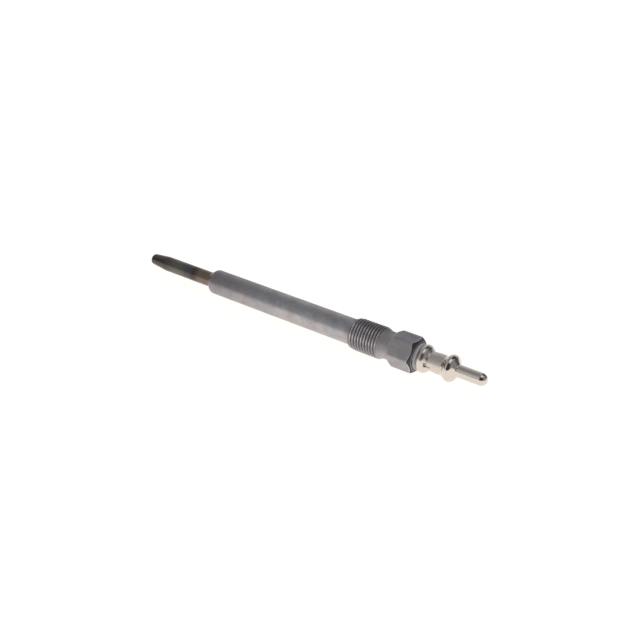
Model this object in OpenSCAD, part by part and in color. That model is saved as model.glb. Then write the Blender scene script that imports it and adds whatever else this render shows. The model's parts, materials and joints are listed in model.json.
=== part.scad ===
// Sheathed diesel glow plug, lying along X with its terminal towards +X and a hexagon flat down.
// The origin is on the axis, where the conical seat starts.

/* [Heater] */
// Diameter of the heater sheath
sheath_d = 4.9; // [4:0.1:6]
// Reach of the heater ahead of the seat
tip_reach = 27.3; // [22:0.1:32]
// Length of the sheath held inside the body
sheath_grip = 20; // [14:0.5:30]
// Wall of the sheath
sheath_wall = 0.6; // [0.4:0.05:0.7]
// Amount by which swaging narrows the diameter at the tip
tip_draw = 1.4; // [1:0.1:1.8]
// Length of the swaged taper
tip_taper = 6.7; // [4:0.1:8]
// Edge radius of the closed tip
tip_round = 0.85; // [0.3:0.05:0.9]
// Thickness of the closed end
tip_wall = 1.2; // [0.8:0.1:1.6]

/* [Coils] */
// Wire diameter of the heating coil
heat_wire_d = 0.35; // [0.25:0.01:0.4]
// Length of the heating coil, measured from the inside of the tip
heat_len = 10; // [8:0.1:12]
// Turns of the heating coil
heat_turns = 9; // [6:1:11]
// Straight lead from the heating coil to its weld in the tip
heat_lead = 1.2; // [0.9:0.1:1.6]
// Wire diameter of the regulating coil
reg_wire_d = 0.4; // [0.3:0.01:0.45]
// Turns of the regulating coil
reg_turns = 11; // [7:1:13]
// Powder between the coils and the sheath
coil_cover = 0.45; // [0.3:0.05:0.55]

/* [Connecting rod] */
// Powder between the rod and the sheath
rod_cover = 0.4; // [0.3:0.05:0.6]
// Reach of the rod's nose ahead of the seat
rod_reach = 3; // [0:0.1:4]
// Length of the thin nose that carries the coil
nose_len = 2; // [1.6:0.1:3]
// Gap between the nose and the coil wound on it
nose_gap = 0.15; // [0.12:0.01:0.2]
// Depth of the rod in the terminal
rod_depth = 9; // [6:0.1:9.4]

/* [Body] */
// Diameter of the sleeve ahead of the thread
sleeve_d = 8.1; // [7.6:0.1:9]
// Distance from the seat to the thread
sleeve_len = 57.8; // [40:0.1:75]
// Full angle of the conical seat
seat_angle = 75; // [55:1:93]
// Flat lip between the sheath and the seat
seat_lip = 0.2; // [0.1:0.05:0.4]
// Radius between the seat and the sleeve
seat_round = 1.4; // [0.5:0.1:2]
// Room around the sheath's rear end and the rod
bore_relief = 0.3; // [0.2:0.05:0.5]

/* [Thread and hexagon] */
// Outside diameter of the thread
thread_d = 10; // [10:0.5:12]
// Length of the thread
thread_len = 10.5; // [9:0.25:18]
// Length of the thread's tapered lead
lead_len = 1.5; // [1:0.1:4]
// Drop of the lead below the thread's outside
lead_drop = 0.3; // [0.2:0.05:0.6]
// Length of the chamfer from the sleeve to the lead
lead_chamfer = 0.6; // [0.3:0.1:1]
// Length of the taper from the thread to the neck
neck_taper = 1.45; // [0.8:0.05:2]
// Length of the neck
neck_len = 2.1; // [0.8:0.1:3]
// Depth of the neck below the thread's outside
neck_depth = 0.7; // [0.5:0.05:1]
// Width of the hexagon across its flats
hex_flats = 10; // [10:0.5:12]
// Length of the hexagon with both chamfers
hex_len = 9; // [8:0.1:14]
// Blunting of the hexagon's six corners
hex_blunt = 0.15; // [0.05:0.05:0.3]
// Length of the hexagon's front chamfer
hex_front = 1.6; // [1:0.1:2.5]
// Length of the hexagon's rear chamfer
hex_rear = 1.1; // [0.8:0.1:1.8]

/* [Seals and insulator] */
// Length of the seal in the sheath's open end
sheath_seal_len = 3; // [2:0.5:6]
// Radial room for the ring seal between the rod and the body
seal_room = 1.9; // [1.4:0.1:2]
// Depth of the counterbore for the ring seal and the insulator
seal_bore_len = 3.8; // [3:0.1:5]
// Width of the body's end face around the counterbore
end_lip = 1.15; // [0.8:0.05:1.3]
// Thickness of the insulator that shows
insulator_t = 1.1; // [0.8:0.05:2]
// Step of the insulator inside the body's end face
insulator_inset = 0.4; // [0.1:0.05:0.5]
// Edge radius of the insulator
insulator_round = 0.3; // [0.1:0.05:0.35]

/* [Terminal] */
// Wall of the terminal around the rod
barrel_wall = 1.6; // [1.3:0.1:1.8]
// Depth of the barrel's waist behind the base bead
waist_depth = 0.18; // [0.1:0.01:0.25]
// Length over which the waist tapers out
waist_len = 2.4; // [1.5:0.1:3]
// Height of the base bead above the barrel
base_rise = 1.23; // [1:0.01:1.4]
// Distance from the insulator to the crest of the base bead
base_crest = 1.1; // [0.9:0.05:1.3]
// Crest radius of the base bead
base_round = 0.8; // [0.5:0.05:0.85]
// Rear flank angle of the base bead
base_rear = 20; // [10:1:30]
// Front flank angle of the base bead
base_front = 45; // [38:1:52]
// Distance between the crests of the two beads
bead_gap = 8.7; // [8:0.1:12]
// Height of the snap bead above the barrel
bead_rise = 1.03; // [0.8:0.01:1.3]
// Crest radius of the snap bead
bead_round = 0.7; // [0.4:0.05:0.9]
// Rear flank angle of the snap bead
bead_rear = 32; // [28:1:45]
// Front flank angle of the snap bead
bead_front = 50; // [38:1:55]
// Radius between the barrel and the two beads
foot_round = 1; // [0.4:0.1:1.2]
// Radius between the snap bead and the contact pin
pin_round = 0.3; // [0.2:0.05:0.6]
// Diameter of the contact pin
pin_d = 3.8; // [3.5:0.1:4.5]
// Distance from the snap bead's crest to the end of the pin
pin_reach = 11.5; // [9:0.1:15]
// Length of each crimp mark
crimp_len = 1.9; // [1:0.1:2.4]
// Width of each crimp mark
crimp_w = 1.4; // [0.8:0.1:1.7]
// Depth of each crimp mark below the barrel
crimp_depth = 0.38; // [0.25:0.01:0.45]
// Turn of the crimp marks above the level
crimp_turn = 5; // [-90:1:90]

/* [Fits] */
// Radial gap of pieces pressed, packed or glued together
fit_gap = 0.02; // [0.01:0.005:0.04]
// Gap between the coil wire and the packed powder
wire_gap = 0.03; // [0.02:0.005:0.05]

/* [Hidden] */

round_fn = 96;
hex_fn = 6;
overrun = 1;

sheath_r = sheath_d / 2;
sheath_in_r = sheath_r - sheath_wall;
tip_x = -tip_reach;
tip_r = sheath_r - tip_draw / 2;
tip_angle = atan((sheath_r - tip_r) / tip_taper);
tip_in_x = tip_x + tip_wall;
tip_in_r = tip_r + tip_wall * tan(tip_angle) - sheath_wall / cos(tip_angle);

wire_d = max(heat_wire_d, reg_wire_d);
coil_r = sheath_in_r - coil_cover - wire_d / 2;
turn_segs = 12;
wire_sides = 6;
lead_segs = 8;

rod_r = sheath_in_r - rod_cover;
rod_x = -rod_reach;
rod_shoulder_x = rod_x + nose_len;
nose_r = coil_r - reg_wire_d / 2 - nose_gap;

joint_x = tip_in_x + heat_len;
coil_end_x = tip_in_x + heat_lead;
coil_start_x = rod_shoulder_x - reg_wire_d;
reg_segs = reg_turns * turn_segs;
heat_segs = heat_turns * turn_segs;
lead_start = reg_segs + heat_segs;
path_segs = lead_start + lead_segs;

thread_x = sleeve_len;
lead_x = thread_x + lead_chamfer;
thread_full_x = lead_x + lead_len;
thread_end_x = thread_x + thread_len;
neck_x = thread_end_x + neck_taper;
hex_x = neck_x + neck_len;
body_end_x = hex_x + hex_len;
sleeve_r = sleeve_d / 2;
thread_r = thread_d / 2;
lead_r = thread_r - lead_drop;
neck_r = thread_r - neck_depth;
hex_corner_r = hex_flats / 2 / cos(180 / hex_fn) - hex_blunt;

seat_r = sheath_r + seat_lip;
seat_half = seat_angle / 2;
seat_len = (sleeve_r - seat_r) / tan(seat_half);
seat_run = seat_round * tan(seat_half / 2);

bore_r = sheath_r + bore_relief;
seal_bore_r = rod_r + seal_room;
seal_bore_x = body_end_x - seal_bore_len;
end_face_r = seal_bore_r + end_lip;
ring_seal_r = seal_room / 2 - fit_gap;

insulator_r = end_face_r - insulator_inset;
insulator_end_x = body_end_x + insulator_t;
spigot_x = seal_bore_x + seal_room + fit_gap;

barrel_r = rod_r + barrel_wall;
waist_r = barrel_r - waist_depth;
base_r = barrel_r + base_rise;
bead_r = barrel_r + bead_rise;
pin_r = pin_d / 2;
terminal_x = insulator_end_x;
base_x = terminal_x + base_crest;
bead_x = base_x + bead_gap;
pin_end_x = bead_x + pin_reach;
rod_end_x = terminal_x + rod_depth;
base_rear_r = flank_top(base_r, base_round, base_rear)
    - (base_crest - base_round * sin(base_rear)) * tan(base_rear);
base_foot_x = flank_foot(base_x, base_r, base_round, base_front, 1, waist_r);
bead_rear_foot_x = flank_foot(bead_x, bead_r, bead_round, bead_rear, -1, barrel_r);
bead_front_foot_x = flank_foot(bead_x, bead_r, bead_round, bead_front, 1, pin_r);
crimp_x = base_foot_x - foot_round * tan(base_front / 2);

// Radius where the round crest of a bead of radius top runs into a straight flank
function flank_top(top, crest, angle) = top - crest + crest * cos(angle);

// Place along the axis where a flank meets the radius below it; side is 1 towards +X
function flank_foot(x, top, crest, angle, side, r) =
    x + side * (crest * sin(angle) + (flank_top(top, crest, angle) - r) / tan(angle));

// Inner radius of the sheath at a place along the axis
function cavity_r(x) = min(sheath_in_r, tip_in_r + (x - tip_in_x) * tan(tip_angle));

// Share of the lead that the coil path has run through at step k
function lead_share(k) = max(0, (k - lead_start) / lead_segs);

// Place of the coil path along the axis at step k, from the rod's nose to the tip
function path_x(k) =
    k <= reg_segs ? coil_start_x - (coil_start_x - joint_x) * k / reg_segs
    : k <= lead_start ? joint_x - (joint_x - coil_end_x) * (k - reg_segs) / heat_segs
    : coil_end_x - heat_lead * pow(lead_share(k), 2);

// Radius of the coil path at step k: it follows the tapered tip, then runs in to the axis
function path_r(k) =
    (cavity_r(path_x(min(k, lead_start))) - coil_cover - wire_d / 2) * pow(1 - lead_share(k), 2);

function path_out(k) = [0, cos(360 * k / turn_segs), sin(360 * k / turn_segs)];
function path_point(k) = [path_x(k), 0, 0] + path_r(k) * path_out(k);
function unit(v) = v / norm(v);

// Direction of the coil path at step k; it ends along the axis, where it is welded
function path_dir(k) =
    k >= path_segs ? [-1, 0, 0] : unit(path_point(k + 1) - path_point(max(k - 1, 0)));

// Corners of the wire's section at step k
function wire_ring(k, d) =
    let (dir = path_dir(k), out = path_out(k))
    let (a = unit(out - (out * dir) * dir))
    let (b = cross(dir, a))
    [for (j = [0 : wire_sides - 1])
        path_point(k) + d / 2 * (a * cos(360 * j / wire_sides) + b * sin(360 * j / wire_sides))];

// Wire swept along the coil path from step k0 to step k1
module wire(k0, k1, d) {
    rings = k1 - k0;
    corners = [for (k = [k0 : k1]) each wire_ring(k, d)];
    sides = [for (i = [0 : rings - 1]) for (j = [0 : wire_sides - 1])
        let (p = i * wire_sides + j, q = i * wire_sides + (j + 1) % wire_sides)
        each [[p, p + wire_sides, q], [q, p + wire_sides, q + wire_sides]]];
    first_cap = [for (j = [0 : wire_sides - 1]) j];
    last_cap = [for (j = [wire_sides - 1 : -1 : 0]) rings * wire_sides + j];
    polyhedron(points = corners, faces = concat([first_cap], sides, [last_cap]));
}

// Turns a half outline, drawn as radius and place along the axis, about the X axis
module lathe() {
    rotate([0, 90, 0]) rotate_extrude($fn = round_fn) children();
}

// Half outline through stations of place and radius
module outline(stations) {
    first = stations[0];
    last = stations[len(stations) - 1];
    polygon(concat([[0, first[0]]], [for (s = stations) [s[1], s[0]]], [[0, last[0]]]));
}

// Round in a half outline, centred at a place and radius
module disc(x, r, size) {
    translate([r, x]) circle(r = size, $fn = round_fn);
}

// Half outline of a bead with a round crest and straight flanks down to two radii
module bead(x, top, crest, rear_angle, rear_r, front_angle, front_r) {
    outline([
        [flank_foot(x, top, crest, rear_angle, -1, rear_r), rear_r],
        [x - crest * sin(rear_angle), flank_top(top, crest, rear_angle)],
        [x + crest * sin(front_angle), flank_top(top, crest, front_angle)],
        [flank_foot(x, top, crest, front_angle, 1, front_r), front_r]
    ]);
    disc(x, top - crest, crest);
}

// Hollow fillet between a flank's foot and the radius it stands on; side is 1 towards +X
module foot(x, r, size, angle, side) {
    run = size * tan(angle / 2);
    difference() {
        polygon([
            [r - run, x - side * run * cos(angle)],
            [r + run * sin(angle), x - side * run * cos(angle)],
            [r, x + side * run],
            [r - run, x + side * run]
        ]);
        disc(x + side * run, r + size, size);
    }
}

module round_bar(x0, x1, r) {
    translate([x0, 0, 0]) rotate([0, 90, 0]) cylinder(r = r, h = x1 - x0, $fn = round_fn);
}

// Seat, sleeve, threaded length and neck of the body
module body_shank() {
    lathe() {
        outline([
            [0, seat_r],
            [seat_len - seat_run * cos(seat_half), sleeve_r - seat_run * sin(seat_half)],
            [seat_len + seat_run, sleeve_r],
            [thread_x, sleeve_r],
            [lead_x, lead_r],
            [thread_full_x, thread_r],
            [thread_end_x, thread_r],
            [neck_x, neck_r],
            [hex_x + hex_front, neck_r]
        ]);
        disc(seat_len + seat_run, sleeve_r - seat_round, seat_round);
    }
}

// Hexagon with a long front chamfer, a short rear one and blunted corners
module body_hexagon() {
    intersection() {
        translate([hex_x, 0, 0]) rotate([0, 90, 0]) linear_extrude(hex_len)
            rotate(180 / hex_fn) circle(r = hex_flats / 2 / cos(180 / hex_fn), $fn = hex_fn);
        lathe() outline([
            [hex_x, neck_r],
            [hex_x + hex_front, hex_corner_r],
            [body_end_x - hex_rear, hex_corner_r],
            [body_end_x, end_face_r]
        ]);
    }
}

module plug_body() {
    color("#85817f") difference() {
        union() {
            body_shank();
            body_hexagon();
        }
        round_bar(-overrun, sheath_grip, sheath_r + fit_gap);
        round_bar(sheath_grip, body_end_x, bore_r);
        round_bar(seal_bore_x, body_end_x + overrun, seal_bore_r);
    }
}

module heater_sheath() {
    round_x = tip_x + tip_round;
    round_r = tip_r + tip_round * tan(tip_angle) - tip_round / cos(tip_angle);
    color("#4a443c") difference() {
        lathe() {
            outline([
                [tip_x, round_r],
                [round_x - tip_round * sin(tip_angle), round_r + tip_round * cos(tip_angle)],
                [tip_x + tip_taper, sheath_r],
                [sheath_grip, sheath_r]
            ]);
            disc(round_x, round_r, tip_round);
        }
        lathe() outline([
            [tip_in_x, tip_in_r],
            [tip_in_x + (sheath_in_r - tip_in_r) / tan(tip_angle), sheath_in_r],
            [sheath_grip + overrun, sheath_in_r]
        ]);
    }
}

module heating_coil() {
    color("#9a948c") wire(reg_segs, path_segs, heat_wire_d);
}

module regulating_coil() {
    color("#b0a79a") wire(0, reg_segs, reg_wire_d);
}

module insulating_powder() {
    end_x = sheath_grip - sheath_seal_len;
    color("#e6e2d8") difference() {
        lathe() outline([
            [tip_in_x + fit_gap, tip_in_r - fit_gap],
            [tip_in_x + (sheath_in_r - tip_in_r) / tan(tip_angle), sheath_in_r - fit_gap],
            [end_x, sheath_in_r - fit_gap]
        ]);
        round_bar(rod_x - fit_gap, rod_shoulder_x, nose_r + fit_gap);
        round_bar(rod_shoulder_x - fit_gap, end_x + overrun, rod_r + fit_gap);
        wire(0, path_segs, wire_d + 2 * wire_gap);
    }
}

module sheath_seal() {
    color("#7c2f26") difference() {
        round_bar(sheath_grip - sheath_seal_len, sheath_grip, sheath_in_r - fit_gap);
        round_bar(sheath_grip - sheath_seal_len - overrun, sheath_grip + overrun, rod_r + fit_gap);
    }
}

module connecting_rod() {
    color("#a8a6a2") {
        round_bar(rod_x, rod_shoulder_x, nose_r);
        round_bar(rod_shoulder_x, rod_end_x, rod_r);
    }
}

module body_seal() {
    color("#262626") lathe()
        disc(seal_bore_x + seal_room / 2, rod_r + seal_room / 2, ring_seal_r);
}

module insulating_ring() {
    color("#8b918c") difference() {
        lathe() {
            outline([
                [spigot_x, seal_bore_r - fit_gap],
                [body_end_x, seal_bore_r - fit_gap],
                [body_end_x, insulator_r],
                [insulator_end_x - insulator_round, insulator_r],
                [insulator_end_x, insulator_r - insulator_round]
            ]);
            disc(insulator_end_x - insulator_round, insulator_r - insulator_round, insulator_round);
        }
        round_bar(spigot_x - overrun, insulator_end_x + overrun, rod_r + fit_gap);
    }
}

// Cutter for the two crimp marks that hold the terminal on the rod
module crimps() {
    for (side = [0, 180])
        rotate([side - crimp_turn, 0, 0])
            translate([crimp_x, -base_r, -crimp_w / 2])
                cube([crimp_len, base_rise + crimp_depth, crimp_w]);
}

module terminal() {
    color("#c3bbae") difference() {
        union() {
            lathe() {
                bead(base_x, base_r, base_round, base_rear, base_rear_r, base_front, waist_r);
                bead(bead_x, bead_r, bead_round, bead_rear, barrel_r, bead_front, pin_r);
                outline([
                    [base_x, waist_r],
                    [base_foot_x, waist_r],
                    [base_foot_x + waist_len, barrel_r],
                    [bead_x, barrel_r]
                ]);
                outline([[bead_x, pin_r], [pin_end_x - pin_r, pin_r]]);
                foot(base_foot_x, waist_r, foot_round, base_front, 1);
                foot(bead_rear_foot_x, barrel_r, foot_round, bead_rear, -1);
                foot(bead_front_foot_x, pin_r, pin_round, bead_front, 1);
            }
            translate([pin_end_x - pin_r, 0, 0]) sphere(r = pin_r, $fn = round_fn);
        }
        round_bar(terminal_x - overrun, rod_end_x + fit_gap, rod_r + fit_gap);
        crimps();
    }
}

plug_body();
heater_sheath();
heating_coil();
regulating_coil();
insulating_powder();
sheath_seal();
connecting_rod();
body_seal();
insulating_ring();
terminal();
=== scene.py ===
import json
import math
from collections import namedtuple
from functools import partial

import bpy
import numpy as np
from bpy.props import FloatProperty, FloatVectorProperty, IntProperty, PointerProperty
from mathutils import Matrix, Vector


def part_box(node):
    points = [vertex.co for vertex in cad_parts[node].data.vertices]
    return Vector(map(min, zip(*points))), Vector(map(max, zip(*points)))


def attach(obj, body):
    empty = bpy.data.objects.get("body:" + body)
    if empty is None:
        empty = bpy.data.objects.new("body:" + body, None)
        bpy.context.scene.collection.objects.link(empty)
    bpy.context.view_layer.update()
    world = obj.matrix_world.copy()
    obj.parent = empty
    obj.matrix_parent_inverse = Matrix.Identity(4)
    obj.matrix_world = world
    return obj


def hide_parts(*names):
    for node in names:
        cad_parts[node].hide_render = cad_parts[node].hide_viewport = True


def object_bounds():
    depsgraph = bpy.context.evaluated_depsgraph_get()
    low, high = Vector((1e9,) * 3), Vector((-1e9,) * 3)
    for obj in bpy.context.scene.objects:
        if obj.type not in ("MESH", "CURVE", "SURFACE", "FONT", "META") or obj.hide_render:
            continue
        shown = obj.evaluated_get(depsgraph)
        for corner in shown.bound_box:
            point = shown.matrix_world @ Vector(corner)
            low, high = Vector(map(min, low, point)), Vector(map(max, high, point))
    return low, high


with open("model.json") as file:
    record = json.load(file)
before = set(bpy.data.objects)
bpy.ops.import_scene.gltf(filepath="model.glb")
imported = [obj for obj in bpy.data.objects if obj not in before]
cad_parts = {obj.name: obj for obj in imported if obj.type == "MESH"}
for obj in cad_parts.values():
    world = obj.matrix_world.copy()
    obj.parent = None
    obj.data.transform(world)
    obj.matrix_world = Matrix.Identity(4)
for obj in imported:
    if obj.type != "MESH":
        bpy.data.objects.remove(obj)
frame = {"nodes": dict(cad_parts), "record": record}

bl_info = {
    "name": "Glow plug",
    "version": (1, 0, 0),
    "blender": (4, 5, 0),
    "location": "3D View > Sidebar > Glow Plug",
    "description": "Visible pieces, finishes and stage of a sheathed diesel glow plug",
    "category": "Object",
}

MM = 0.001
MICRON = 0.001 * MM
CAD_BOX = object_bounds()
BODY = "root"
PHOTO_PX = 640
SENSOR_MM = 36.0

# Places and sizes that the packed solids already hold
MOUNTS = {mount["name"]: mount for mount in frame["record"]["mounts"]}
SHELL_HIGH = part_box("plug_body")[1]
SHEATH_LOW, SHEATH_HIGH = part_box("heater_sheath")
ROD_LOW, ROD_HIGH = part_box("connecting_rod")
RING_LOW, RING_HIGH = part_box("insulating_ring")
TERMINAL_LOW, TERMINAL_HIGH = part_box("terminal")
THREAD = MOUNTS["thread"]
PIN = MOUNTS["terminal_pin"]
THREAD_R = THREAD["dims"]["r_mm"] * MM
THREAD_HALF = THREAD["dims"]["length_mm"] * MM / 2
THREAD_FULL_X = THREAD["pos_m"][0] - THREAD_HALF
THREAD_END_X = THREAD["pos_m"][0] + THREAD_HALF


# Properties

def length(name, description, default):
    """A size in metres that the sidebar shows as a length."""
    return FloatProperty(
        name=name, description=description, default=default, min=0.0, precision=5,
        subtype="DISTANCE", unit="LENGTH")


def place(name, description, default):
    """A place along the plug's axis, in metres from the seat."""
    return FloatProperty(
        name=name, description=description, default=default, precision=5,
        subtype="DISTANCE", unit="LENGTH")


def turn(name, description, degrees):
    """An angle that the sidebar shows in degrees."""
    return FloatProperty(
        name=name, description=description, default=math.radians(degrees),
        subtype="ANGLE", unit="ROTATION")


def share(name, description, default):
    """A plain number from 0 to 1."""
    return FloatProperty(
        name=name, description=description, default=default, min=0.0, max=1.0, subtype="FACTOR")


def colour(name, description, default):
    """A linear colour."""
    return FloatVectorProperty(
        name=name, description=description, default=default, size=3, min=0.0, max=1.0,
        subtype="COLOR")


class GlowPlugBodySizes(bpy.types.PropertyGroup):
    """Steel body: seat, sleeve, thread, neck and hexagon."""

    seat_lip: length("Seat lip", "Flat ring between the sheath and the seat", 0.2 * MM)
    seat_angle: turn("Seat angle", "Full angle of the conical seat", 75)
    seat_round: length("Seat round", "Radius between the seat and the sleeve", 1.4 * MM)
    sleeve_r: length("Sleeve radius", "Radius of the plain sleeve", 4.05 * MM)
    thread_x: place("Thread start", "Where the sleeve ends and the thread starts", 57.8 * MM)
    lead_chamfer: length("Lead chamfer", "Length of the chamfer below the thread's lead", 0.6 * MM)
    lead_drop: length("Lead drop", "Drop of the lead below the thread's crests", 0.3 * MM)
    pitch: length("Pitch", "Spacing of the thread's crests", 1 * MM)
    thread_depth: length("Thread depth", "Depth of the groove between two crests", 0.56 * MM)
    thread_turn: turn("Thread turn", "Turn of the thread round the axis", 95)
    run_over: length("Run-over", "How far the full groove runs past the crests", 0.1 * MM)
    run_out: length("Run-out", "Length over which the groove ends", 0.5 * MM)
    # The thread's crests carry a painted highlight that is strongest on this side
    highlight_side: turn("Rubbed side", "Side round the axis where the crests are bright", 146)
    neck_taper: length("Neck taper", "Length of the taper from the thread to the neck", 1.45 * MM)
    neck_len: length("Neck length", "Length of the neck", 2.1 * MM)
    neck_depth: length("Neck depth", "Depth of the neck below the crests", 0.7 * MM)
    hex_front: length("Front chamfer", "Length of the hexagon's front chamfer", 1.6 * MM)
    hex_rear: length("Rear chamfer", "Length of the hexagon's rear chamfer", 1.1 * MM)
    hex_round: length("Corner round", "Radius of the hexagon's long corners", 0.8 * MM)
    end_lip: length("End lip", "Width of the end face around the counterbore", 1.15 * MM)
    seal_room: length("Seal room", "Room around the rod for the ring seal", 1.9 * MM)
    seal_depth: length("Seal depth", "Depth of the counterbore", 3.8 * MM)
    bore_relief: length("Bore relief", "Room around the sheath's rear end", 0.3 * MM)
    fit_gap: length("Fit gap", "Radial gap of a pressed fit", 0.02 * MM)
    mouth_edge: length("Mouth edge", "Edge radius of the bore's mouth", 0.04 * MM)
    lip_edge: length("Lip edge", "Edge radius of the seat lip", 0.06 * MM)
    sleeve_edge: length("Sleeve edge", "Radius where the sleeve meets the thread", 0.12 * MM)
    lead_edge: length("Lead edge", "Edge radius of the thread's lead", 0.1 * MM)
    lead_round: length("Lead round", "Radius between the lead and the full thread", 0.4 * MM)
    thread_edge: length("Thread edge", "Edge radius of the thread's rear end", 0.15 * MM)
    neck_round: length("Neck round", "Radius between the taper and the neck", 0.5 * MM)
    hex_foot: length("Hexagon foot", "Radius between the neck and the hexagon", 0.3 * MM)
    front_edge: length("Front edge", "Edge radius of the front chamfer", 0.3 * MM)
    rear_edge: length("Rear edge", "Edge radius of the rear chamfer", 0.09 * MM)
    face_edge: length("Face edge", "Edge radius of the end face", 0.08 * MM)


class GlowPlugSheathSizes(bpy.types.PropertyGroup):
    """Heater sheath and the coils inside it."""

    tip_draw: length("Tip draw", "Amount that swaging takes off the radius", 0.7 * MM)
    tip_taper: length("Tip taper", "Length of the swaged taper", 6.7 * MM)
    tip_round: length("Tip round", "Edge radius of the closed tip", 0.85 * MM)
    tip_wall: length("Tip wall", "Thickness of the closed end", 1.2 * MM)
    wall: length("Wall", "Wall of the sheath", 0.6 * MM)
    taper_round: length("Taper round", "Radius where the taper starts", 4 * MM)
    end_edge: length("End edge", "Edge radius of the open end", 0.08 * MM)
    inner_round: length("Inner round", "Radius where the taper starts inside", 1 * MM)
    inner_edge: length("Inner edge", "Edge radius inside the closed tip", 0.2 * MM)
    heat_wire: length("Heating wire", "Radius of the heating coil's wire", 0.175 * MM)
    heat_len: length("Heating length", "Length of the heating coil from the tip", 10 * MM)
    heat_turns: IntProperty(name="Heating turns", description="Turns of the heating coil", default=9)
    heat_lead: length("Heating lead", "Lead from the coil to its weld in the tip", 1.2 * MM)
    reg_wire: length("Regulating wire", "Radius of the regulating coil's wire", 0.2 * MM)
    reg_turns: IntProperty(name="Regulating turns", description="Turns of the second coil", default=11)
    nose_len: length("Nose length", "Length of the rod's nose inside the coil", 2 * MM)
    coil_cover: length("Coil cover", "Powder between the coils and the sheath", 0.45 * MM)


class GlowPlugTerminalSizes(bpy.types.PropertyGroup):
    """Nickel-plated terminal and the plastic ring under it."""

    ring_round: length("Ring round", "Edge radius of the plastic ring", 0.3 * MM)
    ring_edge: length("Ring edge", "Edge radius of the ring's side in the body", 0.1 * MM)
    barrel_wall: length("Barrel wall", "Wall of the barrel around the rod", 1.6 * MM)
    waist_depth: length("Waist depth", "Depth of the barrel's waist behind the base bead", 0.18 * MM)
    waist_len: length("Waist length", "Length over which the waist tapers out", 2.4 * MM)
    waist_round: length("Waist round", "Radius where the waist ends", 2 * MM)
    base_edge: length("Base edge", "Edge radius of the face by the ring", 0.08 * MM)
    base_crest: length("Base crest", "Distance from the ring to the base bead's crest", 1.1 * MM)
    base_round: length("Base round", "Crest radius of the base bead", 1.5 * MM)
    base_rear: turn("Base rear", "Rear flank angle of the base bead", 20)
    base_front: turn("Base front", "Front flank angle of the base bead", 52)
    bead_gap: length("Bead gap", "Distance between the two crests", 8.7 * MM)
    bead_rise: length("Bead rise", "Height of the snap bead above the barrel", 1.03 * MM)
    bead_round: length("Bead round", "Crest radius of the snap bead", 1.6 * MM)
    bead_rear: turn("Bead rear", "Rear flank angle of the snap bead", 38)
    bead_front: turn("Bead front", "Front flank angle of the snap bead", 58)
    foot_round: length("Foot round", "Radius between the barrel and the beads", 1 * MM)
    pin_round: length("Pin round", "Radius between the snap bead and the pin", 0.3 * MM)
    crimp_len: length("Crimp length", "Length of each crimp mark", 1.9 * MM)
    crimp_w: length("Crimp width", "Width of each crimp mark", 1.4 * MM)
    crimp_depth: length("Crimp depth", "Depth of each crimp mark", 0.38 * MM)
    # The dark edges of a crimp mark are painted shade
    crimp_edge: length("Crimp edge", "Width of the dark edges of a crimp mark", 0.07 * MM)
    crimp_turn: turn("Crimp turn", "Turn of the crimp marks above the level", 5)


class GlowPlugFinishes(bpy.types.PropertyGroup):
    """Colours of the finishes."""

    steel_cool: colour("Steel, cool", "Plated steel where its film is bluish", (0.508, 0.515, 0.540))
    steel_warm: colour("Steel, warm", "Plated steel where its film is brownish", (0.562, 0.515, 0.490))
    # Steel, dark also gives the painted shade in the thread's grooves
    steel_dark_and_shade: colour("Steel, dark", "Clouds and thread grooves on the body", (0.133, 0.121, 0.131))
    # Steel, worn also gives the painted highlight on the thread's crests
    steel_worn_and_highlight: colour("Steel, worn", "Rubbed edges and crests of the body", (0.965, 0.915, 0.945))
    scale_black: colour("Scale", "Black scale on the heater's tip", (0.098, 0.086, 0.074))
    scale_green: colour("Scale, green", "Green-grey scale behind the tip", (0.160, 0.158, 0.132))
    tint_blue: colour("Blue tint", "Blue heat tint on the sheath", (0.106, 0.105, 0.122))
    tint_brown: colour("Brown tint", "Dark edge between the blue and the bronze", (0.088, 0.062, 0.058))
    tint_bronze: colour("Bronze tint", "Bronze heat tint by the seat", (0.230, 0.172, 0.130))
    nickel: colour("Nickel", "Bright plating of the terminal", (0.71, 0.648, 0.58))
    nickel_dull: colour("Nickel, dull", "Faint haze on the terminal", (0.61, 0.55, 0.49))
    # Nickel, dark is the painted shade along the crimp marks' edges
    nickel_shade: colour("Nickel, dark", "Edges of the crimp marks", (0.06, 0.052, 0.047))
    plastic: colour("Plastic", "Grey-green insulating ring", (0.43, 0.445, 0.43))
    wire: colour("Wire", "Drawn resistance wire", (0.50, 0.47, 0.43))
    rod: colour("Rod", "Bright drawn rod", (0.55, 0.54, 0.52))
    powder: colour("Powder", "Packed mineral powder", (0.80, 0.78, 0.72))
    elastomer: colour("Elastomer", "Black seals", (0.025, 0.025, 0.026))
    floor: colour("Floor", "Pale studio floor", (0.12, 0.12, 0.12))
    floor_light: colour("Floor light", "Tint of the lit floor", (1.0, 0.962, 0.935))
    room: colour("Room", "Tint of the room", (0.93, 0.945, 1.0))


class GlowPlugStage(bpy.types.PropertyGroup):
    """Camera and light."""

    aim_x: place("Aim", "Point of the axis that the view is built on", 48.21 * MM)
    aim_px: FloatVectorProperty(
        name="Aim pixel", description="Where that point lies in the picture", size=2,
        default=(329.29, 323.15))
    view_angle: turn("View angle", "Angle between the axis and the way to the camera", 58)
    view_height: turn("View height", "Height of the camera round the axis", 31)
    view_roll: turn("View roll", "Roll of the camera", 2.6)
    distance: length("Distance", "Distance from the aim to the camera", 319.7 * MM)
    focal_px: FloatProperty(
        name="Focal length", description="Focal length in pixels of the picture", default=1041.0)
    sun: FloatProperty(name="Light", description="Strength of the overhead light", default=0.9)
    sun_spread: turn("Light spread", "Angle that the overhead light fills", 120)
    room_low: share("Room, low", "Brightness of the room by the floor", 0.52)
    room_middle: share("Room, middle", "Brightness of the room half way up", 0.69)
    room_top: share("Room, top", "Brightness of the room overhead", 0.29)
    floor_glow: FloatProperty(name="Floor glow", description="Brightness of the lit floor", default=1.0)


# Node trees

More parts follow.
